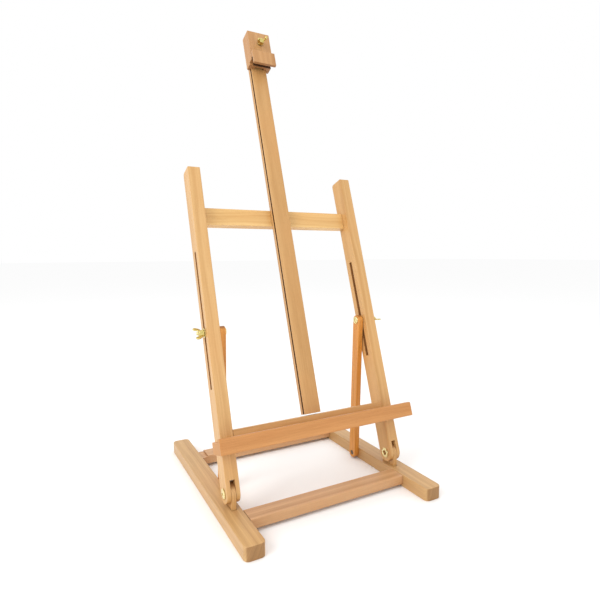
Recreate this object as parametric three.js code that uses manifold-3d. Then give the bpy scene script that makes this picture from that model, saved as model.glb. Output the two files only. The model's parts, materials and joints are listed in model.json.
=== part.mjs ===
// A folding tabletop easel in beech with brass fittings.
// Frame: millimetres, +X to the right of someone facing the easel, +Y towards the back, +Z up.
// The origin is on the table, midway between the runners and midway along them.
import * as THREE from "three";
import { mergeVertices } from "three/addons/utils/BufferGeometryUtils.js";
import Module from "manifold-3d";

const wasm = await Module();
wasm.setup();

// ---------------------------------------------------------------- clearances
const SEAT = 0.3; // between two glued, screwed or resting pieces
const DOWEL_FIT = 0.15; // radial, dowel or screw in wood
const RUNNING_FIT = 0.3; // radial, pin or bolt that turns
const FORK_PLAY = 0.4; // each side of the hinge tongue in the fork
const CHANNEL_PLAY = 0.4; // holder channel on the mast

// ---------------------------------------------------------------- frame and base sizes
const UPRIGHT_SPACING = 300;
const UPRIGHT_WIDTH = 21;
const UPRIGHT_DEPTH = 30;
const UPRIGHT_TOP = 520.5; // above the hinge axis, along the upright
const UPRIGHT_TOP_RADIUS = 5; // rear top corner
const LEAN = THREE.MathUtils.degToRad(18.6); // frame, back from upright

const RUNNER_LENGTH = 390;
const RUNNER_WIDTH = 31;
const RUNNER_HEIGHT = 21;
const RUNNER_CORNER = 8;
const RUNNER_OUTSET = 4; // runner centre outside the upright centre

const BAR_WIDTH = 30;
const BAR_THICKNESS = 15;
const BAR_DROP = 0.5; // bar tops below the runner tops
const FRONT_BAR_SETBACK = 56.5; // from the runners' front ends
const REAR_BAR_SETBACK = 69; // from the runners' rear ends
const NOTCH_DEPTH = 2.5; // rests for the folded struts
const NOTCH_PLAY = 0.8;

const DOWEL_RADIUS = 3;
const DOWEL_LENGTH = 28;
const DOWEL_PITCH = 15;

// ---------------------------------------------------------------- fold hinge
const HINGE_SETBACK = 106; // from the runners' front ends
const HINGE_HEIGHT = 41.5;
const FORK_DEPTH = 19; // slot floor above the hinge axis
const TONGUE_THICKNESS = 7.2;
const TONGUE_SINK = 14; // into the runner
const HINGE_BOLT_RADIUS = 3.5;
const HINGE_HEAD_RADIUS = 8;
const HINGE_HEAD_HEIGHT = 1.8;
const BARREL_RADIUS = 5.2;
const BARREL_LENGTH = 5.4;

// ---------------------------------------------------------------- struts and their clamps
const STRUT_REACH = 259.5; // foot pivot to clamp bolt
const STRUT_DEPTH = 18;
const STRUT_THICKNESS = 10;
const STRUT_GAP = 0.3; // strut to runner
const PIVOT_SETBACK = 193; // from the runners' front ends
const PIVOT_HEIGHT = 11;
const PIVOT_SCREW_RADIUS = 2.6;
const PIVOT_HEAD_RADIUS = 4;
const PIVOT_HEAD_SINK = 3;
const PIVOT_HEAD_HEIGHT = 2.2;
const PIVOT_SCREW_BITE = 18;

const CLAMP_RADIUS = 3;
const CLAMP_HEAD_RADIUS = 6.6;
const CLAMP_HEAD_HEIGHT = 2.6;
const SLOT_WIDTH = 7;
const SLOT_BOTTOM = 152.7; // lower end on the outer face, above the hinge axis
const SLOT_TOP_MARGIN = 48.4; // upper end on the outer face, below the upper crossbar
const CUTTER_RADIUS = 60; // the slots are cut with a round blade, so their ends slope
const CUTTER_REACH = 8; // blade past the inner face
const WASHER_RADIUS = 7.5;
const WASHER_THICKNESS = 1.2;
const STUD_PROUD = 13;
const LEFT_WING_TURN = THREE.MathUtils.degToRad(42);
const RIGHT_WING_TURN = LEAN - Math.PI / 2; // wings level

// ---------------------------------------------------------------- wing heads
const WING_HUB_RADIUS = 6;
const WING_HUB_TOP_RADIUS = 4.7;
const WING_HUB_HEIGHT = 8;
const WING_SPAN = 28;
const WING_REACH = 15; // tip height above the seat
const WING_THICKNESS = 2.4;
const EAR_RADIUS = 3.1;

// ---------------------------------------------------------------- rails, tray and mast
const CROSSBAR_DROP = 66.8; // top edge below the upright tops
const RAIL_TOP = 88.7; // above the hinge axis
const TENON_LENGTH = 12;
const TENON_THICKNESS = 7;
const TENON_HEIGHT = 20;

const TRAY_OVERHANG = 13; // past each upright
const TRAY_DEPTH = 37.6;
const TRAY_THICKNESS = 18;
const TRAY_LIP_HEIGHT = 5;
const TRAY_LIP_WIDTH = 10.5;
const TRAY_ROUND = 2.4;

const MAST_WIDTH = 30;
const MAST_LENGTH = 708;
const MAST_FOOT_GAP = 2.4; // above the lower rail
const GROOVE_DEPTH = 4;
const GROOVE_WIDTH = 4;
const GROOVE_INSET = 2.5; // behind the mast's face

const SCREW_RADIUS = 2;
const SCREW_HEAD_RADIUS = 4;
const SCREW_HEAD_HEIGHT = 2.6;
const SCREW_BITE = 9; // into the second piece
const TRAY_SCREW_X = 90;
const MAST_SCREW_PITCH = 15;

// ---------------------------------------------------------------- canvas holder on the mast
const HOLDER_WIDTH = 43.5;
const HOLDER_HEIGHT = 65.6;
const HOLDER_FACE = 20.5; // front face ahead of the mast's face
const HOLDER_ABOVE_MAST = 2;
const HOLDER_TOP_CHAMFER = 1.5;
const LIP_WIDTH = 44.6;
const LIP_HEIGHT = 26.3;
const LIP_DEPTH = 9.2;
const LIP_HANG = 9.4; // below the holder
const CANVAS_SLOT_WIDTH = 15.5;
const CANVAS_SLOT_REBATE = 3.7; // how far the canvas slot is cut into the lip
const CANVAS_SLOT_RISE = 4.5;
const LIP_DOWEL_RADIUS = 1.8;
const LIP_DOWEL_LENGTH = 12;
const LIP_DOWEL_SPACING = 24;
const PLATE_WIDTH = 16;
const PLATE_HEIGHT = 38;
const PLATE_THICKNESS = 2;
const PLATE_POCKET = 4.6;
const HOLDER_SCREW_DROP = 25; // below the holder's top
const HOLDER_SCREW_TURN = THREE.MathUtils.degToRad(25);
const HOLDER_WING_SPAN = 23;
const HOLDER_SCREW_GAP = 2; // head to the holder's face
const INSERT_RADIUS = 4.6;
const INSERT_LENGTH = 12;
const INSERT_BACK = 2; // behind the holder's face

// ---------------------------------------------------------------- derived places
const RUNNER_X = UPRIGHT_SPACING / 2 + RUNNER_OUTSET;
const RUNNER_INNER = RUNNER_X - RUNNER_WIDTH / 2;
const UPRIGHT_X = UPRIGHT_SPACING / 2;
const UPRIGHT_INNER = UPRIGHT_X - UPRIGHT_WIDTH / 2;
const UPRIGHT_OUTER = UPRIGHT_X + UPRIGHT_WIDTH / 2;
const HALF_DEPTH = UPRIGHT_DEPTH / 2;
const FRONT_END = -RUNNER_LENGTH / 2;
const HINGE_Y = FRONT_END + HINGE_SETBACK;
const PIVOT_Y = FRONT_END + PIVOT_SETBACK;
const BAR_TOP = RUNNER_HEIGHT - BAR_DROP;
const FRONT_BAR_Y = FRONT_END + FRONT_BAR_SETBACK + BAR_WIDTH / 2;
const REAR_BAR_Y = RUNNER_LENGTH / 2 - REAR_BAR_SETBACK - BAR_WIDTH / 2;
const STRUT_OUTER = Math.min(RUNNER_INNER, UPRIGHT_INNER - 1) - STRUT_GAP;
const STRUT_INNER = STRUT_OUTER - STRUT_THICKNESS;
const CROSSBAR_TOP = UPRIGHT_TOP - CROSSBAR_DROP;
const CROSSBAR_BOTTOM = CROSSBAR_TOP - BAR_WIDTH;
const RAIL_BOTTOM = RAIL_TOP - BAR_WIDTH;
const SLOT_TOP = CROSSBAR_BOTTOM - SLOT_TOP_MARGIN;
const FACE = -HALF_DEPTH; // local y of the frame's front faces
const MAST_BOTTOM = RAIL_TOP + MAST_FOOT_GAP;
const MAST_TOP = MAST_BOTTOM + MAST_LENGTH;
const HOLDER_TOP = MAST_TOP + HOLDER_ABOVE_MAST;
const HOLDER_BOTTOM = HOLDER_TOP - HOLDER_HEIGHT;
const HOLDER_FRONT = FACE - HOLDER_FACE;
const HOLDER_SCREW_Z = HOLDER_TOP - HOLDER_SCREW_DROP;

// The clamp bolt sits where the strut, turning about its foot, meets the upright's slot.
const FOOT_Y = PIVOT_Y - HINGE_Y;
const FOOT_Z = PIVOT_HEIGHT - HINGE_HEIGHT;
const FOOT_ALONG = FOOT_Y * Math.sin(LEAN) + FOOT_Z * Math.cos(LEAN);
const FOOT_ACROSS = FOOT_Y * Math.cos(LEAN) - FOOT_Z * Math.sin(LEAN);
const CLAMP_Z = FOOT_ALONG + Math.sqrt(STRUT_REACH ** 2 - FOOT_ACROSS ** 2);
const STRUT_LEAN = Math.atan2(
  HINGE_Y + CLAMP_Z * Math.sin(LEAN) - PIVOT_Y,
  HINGE_HEIGHT + CLAMP_Z * Math.cos(LEAN) - PIVOT_HEIGHT,
);

// ---------------------------------------------------------------- solids
// Turns a closed three.js geometry into a solid whose faces point out.
function solid(geometry) {
  geometry.deleteAttribute("normal");
  geometry.deleteAttribute("uv");
  const merged = mergeVertices(geometry, 1e-4);
  const vertProperties = new Float32Array(merged.attributes.position.array);
  const triVerts = new Uint32Array(merged.index.array);
  const made = new wasm.Manifold(new wasm.Mesh({ numProp: 3, vertProperties, triVerts }));
  if (made.volume() > 0) return made;
  for (let i = 0; i < triVerts.length; i += 3) {
    [triVerts[i + 1], triVerts[i + 2]] = [triVerts[i + 2], triVerts[i + 1]];
  }
  return new wasm.Manifold(new wasm.Mesh({ numProp: 3, vertProperties, triVerts }));
}

// A block between two corners, given as [low, high] on each axis.
function block([x0, x1], [y0, y1], [z0, z1]) {
  const g = new THREE.BoxGeometry(x1 - x0, y1 - y0, z1 - z0);
  g.translate((x0 + x1) / 2, (y0 + y1) / 2, (z0 + z1) / 2);
  return solid(g);
}

// Two numbers in rising order, so that a mirrored span still runs low to high.
function span(a, b) {
  return a < b ? [a, b] : [b, a];
}

function extrude(shape, depth, segments) {
  return new THREE.ExtrudeGeometry(shape, { depth, bevelEnabled: false, curveSegments: segments });
}

// An outline drawn in (y, z) and carried along X from x0 to x1.
function alongX(shape, [x0, x1], segments = 8) {
  const g = extrude(shape, x1 - x0, segments);
  const axes = new THREE.Matrix4().makeBasis(
    new THREE.Vector3(0, 1, 0),
    new THREE.Vector3(0, 0, 1),
    new THREE.Vector3(1, 0, 0),
  );
  g.applyMatrix4(axes);
  g.translate(x0, 0, 0);
  return solid(g);
}

// An outline drawn in (x, y) and carried along Z from z0 to z1.
function alongZ(shape, [z0, z1], segments = 6) {
  const g = extrude(shape, z1 - z0, segments);
  g.translate(0, 0, z0);
  return solid(g);
}

// An outline drawn in (x, z) and carried along Y from y0 to y1.
function alongY(shape, [y0, y1], segments = 20) {
  const g = extrude(shape, y1 - y0, segments);
  g.rotateX(Math.PI / 2);
  g.translate(0, y1, 0);
  return g;
}

// A round bar along X, centred on (y, z).
function rodX(radius, [x0, x1], y, z, sides = 20) {
  const g = new THREE.CylinderGeometry(radius, radius, x1 - x0, sides);
  g.rotateZ(Math.PI / 2);
  g.translate((x0 + x1) / 2, y, z);
  return solid(g);
}

// A round bar along Y, centred on (x, z).
function rodY(radius, x, [y0, y1], z, sides = 20) {
  const g = new THREE.CylinderGeometry(radius, radius, y1 - y0, sides);
  g.translate(x, (y0 + y1) / 2, z);
  return solid(g);
}

// A turned piece: [radius, height] pairs that rise along +Z from a seat at the origin.
function turned(profile, sides = 24) {
  const points = profile.map(([r, h]) => new THREE.Vector2(r, h));
  const g = new THREE.LatheGeometry(points, sides);
  g.rotateX(Math.PI / 2);
  return g;
}

// Swings a piece built along +Z so that it runs along +X or -X, then moves it.
function towardsX(geometry, side, x, y, z) {
  geometry.rotateY((side * Math.PI) / 2);
  geometry.translate(x, y, z);
  return solid(geometry);
}

// Swings a piece built along +Z so that it runs along -Y, towards the front, then moves it.
function towardsFront(geometry, x, y, z) {
  geometry.rotateX(Math.PI / 2);
  geometry.translate(x, y, z);
  return solid(geometry);
}

// ---------------------------------------------------------------- looks
const looks = {
  runner: [0xd8b184, 0.55, 0],
  bar: [0xd3a37c, 0.55, 0],
  upright: [0xe2b27a, 0.5, 0],
  tray: [0xde9f62, 0.5, 0],
  crossbar: [0xe6b97a, 0.5, 0],
  strut: [0xcc8840, 0.55, 0],
  holder: [0xcf9c66, 0.5, 0],
  dowel: [0xdcc096, 0.7, 0],
  brass: [0xd8b45a, 0.25, 1],
  steel: [0x9a9a98, 0.35, 1],
};

const easel = new THREE.Group();

function add(group, name, body, look) {
  const { vertProperties, triVerts } = body.getMesh();
  const geometry = new THREE.BufferGeometry();
  geometry.setAttribute("position", new THREE.BufferAttribute(vertProperties, 3));
  geometry.setIndex(new THREE.BufferAttribute(triVerts, 1));
  geometry.computeVertexNormals();
  const [color, roughness, metalness] = looks[look];
  const mesh = new THREE.Mesh(
    geometry,
    new THREE.MeshStandardMaterial({ color, roughness, metalness }),
  );
  mesh.name = name;
  group.add(mesh);
}

const SIDES = [
  ["left", -1],
  ["right", 1],
];

// ---------------------------------------------------------------- outlines
// A straight piece with both ends rounded about its pins, in (y, z).
function linkOutline(halfDepth, bottom, top) {
  const s = new THREE.Shape();
  s.moveTo(halfDepth, bottom);
  s.lineTo(halfDepth, top);
  s.absarc(0, top, halfDepth, 0, Math.PI, false);
  s.lineTo(-halfDepth, bottom);
  s.absarc(0, bottom, halfDepth, Math.PI, 2 * Math.PI, false);
  return s;
}

// An upright seen from the side: round at the hinge, one rounded corner at the top rear.
function uprightOutline() {
  const s = new THREE.Shape();
  s.moveTo(HALF_DEPTH, 0);
  s.lineTo(HALF_DEPTH, UPRIGHT_TOP - UPRIGHT_TOP_RADIUS);
  s.absarc(
    HALF_DEPTH - UPRIGHT_TOP_RADIUS,
    UPRIGHT_TOP - UPRIGHT_TOP_RADIUS,
    UPRIGHT_TOP_RADIUS,
    0,
    Math.PI / 2,
    false,
  );
  s.lineTo(-HALF_DEPTH, UPRIGHT_TOP);
  s.lineTo(-HALF_DEPTH, 0);
  s.absarc(0, 0, HALF_DEPTH, Math.PI, 2 * Math.PI, false);
  return s;
}

// A runner seen from above, with rounded corners.
function runnerOutline(centre) {
  const w = RUNNER_WIDTH / 2;
  const l = RUNNER_LENGTH / 2;
  const r = RUNNER_CORNER;
  const s = new THREE.Shape();
  s.moveTo(centre + w, -l + r);
  s.lineTo(centre + w, l - r);
  s.absarc(centre + w - r, l - r, r, 0, Math.PI / 2, false);
  s.lineTo(centre - w + r, l);
  s.absarc(centre - w + r, l - r, r, Math.PI / 2, Math.PI, false);
  s.lineTo(centre - w, -l + r);
  s.absarc(centre - w + r, -l + r, r, Math.PI, 1.5 * Math.PI, false);
  s.lineTo(centre + w - r, -l);
  s.absarc(centre + w - r, -l + r, r, 1.5 * Math.PI, 2 * Math.PI, false);
  return s;
}

// The tongue seen from the side, in the runner's frame: round about the hinge, square below.
function tongueOutline(grow = 0) {
  const r = HALF_DEPTH + grow;
  const bottom = RUNNER_HEIGHT - TONGUE_SINK - grow;
  const s = new THREE.Shape();
  s.moveTo(HINGE_Y + r, bottom);
  s.lineTo(HINGE_Y + r, HINGE_HEIGHT);
  s.absarc(HINGE_Y, HINGE_HEIGHT, r, 0, Math.PI, false);
  s.lineTo(HINGE_Y - r, bottom);
  return s;
}

// The tray seen from the side: a shelf with a low rounded lip along its front.
function trayOutline() {
  const back = FACE - SEAT;
  const front = back - TRAY_DEPTH;
  const lipTop = RAIL_BOTTOM + TRAY_THICKNESS + TRAY_LIP_HEIGHT;
  const shelf = RAIL_BOTTOM + TRAY_THICKNESS;
  const r = TRAY_ROUND;
  const s = new THREE.Shape();
  s.moveTo(back, RAIL_BOTTOM);
  s.lineTo(back, shelf);
  s.lineTo(front + TRAY_LIP_WIDTH, shelf);
  s.lineTo(front + TRAY_LIP_WIDTH, lipTop - r);
  s.absarc(front + TRAY_LIP_WIDTH - r, lipTop - r, r, 0, Math.PI / 2, false);
  s.lineTo(front + r, lipTop);
  s.absarc(front + r, lipTop - r, r, Math.PI / 2, Math.PI, false);
  s.lineTo(front, RAIL_BOTTOM);
  return s;
}

// ---------------------------------------------------------------- fittings
// A wing head seated at the origin and rising along +Z, its wings along X turned by turn.
function wingHead(turn, wingSpan, boreRadius) {
  const hub = solid(
    turned([
      [0, 0],
      [WING_HUB_RADIUS, 0],
      [WING_HUB_RADIUS, 1.6],
      [WING_HUB_TOP_RADIUS, WING_HUB_HEIGHT],
      [0, WING_HUB_HEIGHT],
    ]),
  );
  const s = new THREE.Shape();
  const half = wingSpan / 2;
  const earZ = WING_REACH - EAR_RADIUS;
  s.moveTo(0, 1.2);
  s.lineTo(half * 0.42, 1.2);
  s.quadraticCurveTo(half * 0.75, 3.4, half, earZ);
  s.absarc(half - EAR_RADIUS, earZ, EAR_RADIUS, 0, 0.8 * Math.PI, false);
  s.quadraticCurveTo(half * 0.5, WING_REACH * 0.55, WING_HUB_TOP_RADIUS - 0.6, WING_HUB_HEIGHT - 1);
  s.lineTo(0, WING_HUB_HEIGHT - 1);
  const g = extrude(s, WING_THICKNESS, 5);
  g.translate(0, 0, -WING_THICKNESS / 2);
  g.rotateX(Math.PI / 2);
  const other = g.clone().rotateZ(Math.PI);
  let head = hub.add(solid(g)).add(solid(other));
  if (boreRadius > 0) {
    const bore = turned([
      [0, -1],
      [boreRadius, -1],
      [boreRadius, WING_HUB_HEIGHT + 1],
      [0, WING_HUB_HEIGHT + 1],
    ]);
    head = head.subtract(solid(bore));
  }
  return head.rotate([0, 0, THREE.MathUtils.radToDeg(turn)]);
}

// A countersunk wood screw with its head flush at the origin, driven along +Z.
function woodScrew(length) {
  return turned(
    [
      [0, 0],
      [SCREW_HEAD_RADIUS, 0],
      [SCREW_RADIUS, SCREW_HEAD_HEIGHT],
      [SCREW_RADIUS, length - 4],
      [0, length],
    ],
    16,
  );
}

// The hole that such a screw needs, with the same clearance all over.
function screwHole(length) {
  return turned(
    [
      [0, -1],
      [SCREW_HEAD_RADIUS + DOWEL_FIT + 1, -1],
      [SCREW_RADIUS + DOWEL_FIT, SCREW_HEAD_HEIGHT + 0.35],
      [SCREW_RADIUS + DOWEL_FIT, length + DOWEL_FIT],
      [0, length + DOWEL_FIT],
    ],
    16,
  );
}

// ---------------------------------------------------------------- base
const base = new THREE.Group();
easel.add(base);

const DOWELS = [
  ["front_dowel", FRONT_BAR_Y],
  ["rear_dowel", REAR_BAR_Y],
];

function dowelSpan(side) {
  return span(side * (RUNNER_INNER - DOWEL_LENGTH / 2), side * (RUNNER_INNER + DOWEL_LENGTH / 2));
}

function dowelHoles(body, side) {
  let cut = body;
  for (const [, y] of DOWELS) {
    for (const step of [-1, 1]) {
      const hole = rodX(
        DOWEL_RADIUS + DOWEL_FIT,
        span(
          side * (RUNNER_INNER - DOWEL_LENGTH / 2 - 1),
          side * (RUNNER_INNER + DOWEL_LENGTH / 2 + 1),
        ),
        y + (step * DOWEL_PITCH) / 2,
        BAR_TOP - BAR_THICKNESS / 2,
        12,
      );
      cut = cut.subtract(hole);
    }
  }
  return cut;
}

function makeRunner(name, side) {
  const mortise = alongX(
    tongueOutline(SEAT),
    span(
      side * (UPRIGHT_X - TONGUE_THICKNESS / 2 - SEAT),
      side * (UPRIGHT_X + TONGUE_THICKNESS / 2 + SEAT),
    ),
  );
  const pilot = rodX(
    PIVOT_SCREW_RADIUS + DOWEL_FIT,
    span(side * (RUNNER_INNER - 1), side * (RUNNER_INNER + PIVOT_SCREW_BITE + DOWEL_FIT)),
    PIVOT_Y,
    PIVOT_HEIGHT,
    16,
  );
  const body = alongZ(runnerOutline(side * RUNNER_X), [0, RUNNER_HEIGHT]);
  add(base, `runner_${name}`, dowelHoles(body.subtract(mortise).subtract(pilot), side), "runner");
}

function makeTongue(name, side) {
  const half = TONGUE_THICKNESS / 2;
  const plate = alongX(tongueOutline(), span(side * (UPRIGHT_X - half), side * (UPRIGHT_X + half)));
  const bore = rodX(
    HINGE_BOLT_RADIUS + RUNNING_FIT,
    span(side * (UPRIGHT_X - half - 1), side * (UPRIGHT_X + half + 1)),
    HINGE_Y,
    HINGE_HEIGHT,
  );
  add(base, `hinge_tongue_${name}`, plate.subtract(bore), "runner");
}

function makeBar(name, y, notched) {
  let bar = block(
    [-RUNNER_INNER, RUNNER_INNER],
    [y - BAR_WIDTH / 2, y + BAR_WIDTH / 2],
    [BAR_TOP - BAR_THICKNESS, BAR_TOP],
  );
  for (const [, side] of SIDES) {
    bar = dowelHoles(bar, side);
    if (!notched) continue;
    const notch = block(
      span(side * (STRUT_INNER - NOTCH_PLAY), side * (RUNNER_INNER + 1)),
      [y - BAR_WIDTH, y + BAR_WIDTH],
      [BAR_TOP - NOTCH_DEPTH, BAR_TOP + 5],
    );
    bar = bar.subtract(notch);
  }
  add(base, name, bar, "bar");
}

function makeBaseDowels(name, side) {
  for (const [label, y] of DOWELS) {
    for (const [end, step] of [
      ["fore", -1],
      ["aft", 1],
    ]) {
      const pin = rodX(
        DOWEL_RADIUS,
        dowelSpan(side),
        y + (step * DOWEL_PITCH) / 2,
        BAR_TOP - BAR_THICKNESS / 2,
        12,
      );
      add(base, `${label}_${name}_${end}`, pin, "dowel");
    }
  }
}

// The shouldered screw on which a strut's foot turns.
function makePivotScrew(name, side) {
  const seat = STRUT_INNER + PIVOT_HEAD_SINK;
  const shank = rodX(
    PIVOT_SCREW_RADIUS,
    span(side * (seat - 0.5), side * (RUNNER_INNER + PIVOT_SCREW_BITE)),
    PIVOT_Y,
    PIVOT_HEIGHT,
    16,
  );
  const head = rodX(
    PIVOT_HEAD_RADIUS,
    span(side * (seat - SEAT - PIVOT_HEAD_HEIGHT), side * (seat - SEAT)),
    PIVOT_Y,
    PIVOT_HEIGHT,
    16,
  );
  const driver = block(
    span(
      side * (seat - SEAT - PIVOT_HEAD_HEIGHT - 1),
      side * (seat - SEAT - PIVOT_HEAD_HEIGHT + 1),
    ),
    [PIVOT_Y - 0.6, PIVOT_Y + 0.6],
    [PIVOT_HEIGHT - PIVOT_HEAD_RADIUS, PIVOT_HEIGHT + PIVOT_HEAD_RADIUS],
  );
  add(base, `pivot_screw_${name}`, shank.add(head).subtract(driver), "steel");
}

makeBar("front_bar", FRONT_BAR_Y, false);
makeBar("rear_bar", REAR_BAR_Y, true);
for (const [name, side] of SIDES) {
  makeRunner(name, side);
  makeTongue(name, side);
  makeBaseDowels(name, side);
  makePivotScrew(name, side);
}

// ---------------------------------------------------------------- leaning frame
// Local axes: origin on the hinge axis, z along the uprights, y towards the back.
const frame = new THREE.Group();
frame.position.set(0, HINGE_Y, HINGE_HEIGHT);
frame.rotation.x = -LEAN;
easel.add(frame);

const TENONS = [
  [CROSSBAR_BOTTOM + BAR_WIDTH / 2, HALF_DEPTH / 2],
  [RAIL_BOTTOM + BAR_WIDTH / 2, -HALF_DEPTH / 2],
];

function tenon(side, z, y, grow) {
  return block(
    span(side * (UPRIGHT_INNER - 2), side * (UPRIGHT_INNER + TENON_LENGTH + grow)),
    [y - TENON_THICKNESS / 2 - grow, y + TENON_THICKNESS / 2 + grow],
    [z - TENON_HEIGHT / 2 - grow, z + TENON_HEIGHT / 2 + grow],
  );
}

// What the blade removes as it runs along the upright: a kerf whose two ends curve.
function clampSlot(side) {
  const bladeX = UPRIGHT_INNER - CUTTER_REACH + CUTTER_RADIUS;
  const runOut = Math.sqrt(CUTTER_RADIUS ** 2 - (bladeX - UPRIGHT_OUTER) ** 2);
  const outline = linkOutline(CUTTER_RADIUS, SLOT_BOTTOM + runOut, SLOT_TOP - runOut);
  const kerf = alongY(outline, [-SLOT_WIDTH / 2, SLOT_WIDTH / 2]);
  kerf.translate(side * bladeX, 0, 0);
  return solid(kerf);
}

function makeUpright(name, side) {
  const through = span(side * (UPRIGHT_INNER - 1), side * (UPRIGHT_OUTER + 1));
  const gap = TONGUE_THICKNESS / 2 + FORK_PLAY;
  const fork = block(
    span(side * (UPRIGHT_X - gap), side * (UPRIGHT_X + gap)),
    [-UPRIGHT_DEPTH, UPRIGHT_DEPTH],
    [-UPRIGHT_DEPTH, FORK_DEPTH],
  );
  const boltBore = rodX(HINGE_BOLT_RADIUS + DOWEL_FIT, through, 0, 0);
  const barrelBore = rodX(
    BARREL_RADIUS + DOWEL_FIT,
    span(side * (UPRIGHT_INNER - 1), side * (UPRIGHT_INNER + BARREL_LENGTH + DOWEL_FIT)),
    0,
    0,
  );
  let body = alongX(uprightOutline(), span(side * UPRIGHT_INNER, side * UPRIGHT_OUTER), 10);
  for (const cut of [fork, clampSlot(side), boltBore, barrelBore]) body = body.subtract(cut);
  for (const [z, y] of TENONS) body = body.subtract(tenon(side, z, y, SEAT));
  add(frame, `upright_${name}`, body, "upright");
}

// A flat head outside the fork, with its shank through both cheeks and the tongue.
function makeHingeBolt(name, side) {
  const head = towardsX(
    turned([
      [0, 0],
      [HINGE_HEAD_RADIUS, 0],
      [HINGE_HEAD_RADIUS, 0.7],
      [HINGE_HEAD_RADIUS - 1.6, HINGE_HEAD_HEIGHT],
      [0, HINGE_HEAD_HEIGHT],
    ]),
    side,
    side * (UPRIGHT_OUTER + SEAT),
    0,
    0,
  );
  const end = UPRIGHT_INNER + BARREL_LENGTH + 1;
  const shank = rodX(HINGE_BOLT_RADIUS, span(side * end, side * (UPRIGHT_OUTER + SEAT + 0.5)), 0, 0);
  add(frame, `hinge_bolt_${name}`, head.add(shank), "brass");
}

// The ring on the inner cheek, with its barrel let into the wood.
function makeHingeNut(name, side) {
  const bore = HINGE_BOLT_RADIUS + RUNNING_FIT;
  const ring = turned([
    [bore, -BARREL_LENGTH],
    [BARREL_RADIUS, -BARREL_LENGTH],
    [BARREL_RADIUS, SEAT],
    [HINGE_HEAD_RADIUS + 0.5, SEAT],
    [HINGE_HEAD_RADIUS + 0.5, SEAT + 0.7],
    [HINGE_HEAD_RADIUS - 1.2, SEAT + HINGE_HEAD_HEIGHT],
    [bore, SEAT + HINGE_HEAD_HEIGHT],
    [bore, -BARREL_LENGTH],
  ]);
  add(frame, `hinge_nut_${name}`, towardsX(ring, -side, side * UPRIGHT_INNER, 0, 0), "brass");
}

function makeCrossbar() {
  const length = UPRIGHT_INNER - SEAT;
  let bar = block([-length, length], [0, HALF_DEPTH], [CROSSBAR_BOTTOM, CROSSBAR_TOP]);
  for (const [, side] of SIDES) bar = bar.add(tenon(side, TENONS[0][0], TENONS[0][1], 0));
  for (const step of [-1, 1]) {
    const z = CROSSBAR_TOP - BAR_WIDTH / 2 + (step * MAST_SCREW_PITCH) / 2;
    const depth = HALF_DEPTH + SEAT + SCREW_BITE;
    bar = bar.subtract(towardsFront(screwHole(depth), 0, HALF_DEPTH, z));
  }
  add(frame, "crossbar", bar, "crossbar");
}

function makeLowerRail() {
  const length = UPRIGHT_INNER - SEAT;
  let rail = block([-length, length], [FACE, 0], [RAIL_BOTTOM, RAIL_TOP]);
  for (const [, side] of SIDES) {
    rail = rail.add(tenon(side, TENONS[1][0], TENONS[1][1], 0));
    const hole = screwHole(HALF_DEPTH + SEAT + SCREW_BITE);
    const z = RAIL_BOTTOM + TRAY_THICKNESS / 2;
    rail = rail.subtract(towardsFront(hole, side * TRAY_SCREW_X, 0, z));
  }
  add(frame, "lower_rail", rail, "crossbar");
}

function makeTray() {
  const end = UPRIGHT_OUTER + TRAY_OVERHANG;
  let tray = alongX(trayOutline(), [-end, end], 5);
  for (const [, side] of SIDES) {
    const hole = screwHole(HALF_DEPTH + SEAT + SCREW_BITE);
    const z = RAIL_BOTTOM + TRAY_THICKNESS / 2;
    tray = tray.subtract(towardsFront(hole, side * TRAY_SCREW_X, 0, z));
  }
  add(frame, "tray", tray, "tray");
}

function makeTrayScrews() {
  for (const [name, side] of SIDES) {
    const screw = woodScrew(HALF_DEPTH + SEAT + SCREW_BITE);
    const z = RAIL_BOTTOM + TRAY_THICKNESS / 2;
    add(frame, `tray_screw_${name}`, towardsFront(screw, side * TRAY_SCREW_X, 0, z), "steel");
  }
}

function makeMast() {
  const half = MAST_WIDTH / 2;
  let mast = block([-half, half], [FACE, -SEAT], [MAST_BOTTOM, MAST_TOP]);
  for (const [, side] of SIDES) {
    const groove = block(
      span(side * (half - GROOVE_DEPTH), side * (half + 1)),
      [FACE + GROOVE_INSET, FACE + GROOVE_INSET + GROOVE_WIDTH],
      [MAST_BOTTOM - 1, MAST_TOP + 1],
    );
    mast = mast.subtract(groove);
  }
  for (const step of [-1, 1]) {
    const z = CROSSBAR_TOP - BAR_WIDTH / 2 + (step * MAST_SCREW_PITCH) / 2;
    const depth = HALF_DEPTH + SEAT + SCREW_BITE;
    mast = mast.subtract(towardsFront(screwHole(depth), 0, HALF_DEPTH, z));
  }
  add(frame, "mast", mast, "upright");
}

function makeMastScrews() {
  for (const [name, step] of [
    ["lower", -1],
    ["upper", 1],
  ]) {
    const z = CROSSBAR_TOP - BAR_WIDTH / 2 + (step * MAST_SCREW_PITCH) / 2;
    const screw = woodScrew(HALF_DEPTH + SEAT + SCREW_BITE);
    add(frame, `mast_screw_${name}`, towardsFront(screw, 0, HALF_DEPTH, z), "steel");
  }
}

for (const [name, side] of SIDES) {
  makeUpright(name, side);
  makeHingeBolt(name, side);
  makeHingeNut(name, side);
}
makeCrossbar();
makeLowerRail();
makeTray();
makeTrayScrews();
makeMast();
makeMastScrews();

// ---------------------------------------------------------------- struts
// Local axes: origin on the foot pivot, z towards the clamp bolt.
const struts = new THREE.Group();
struts.position.set(0, PIVOT_Y, PIVOT_HEIGHT);
struts.rotation.x = -STRUT_LEAN;
easel.add(struts);

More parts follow.
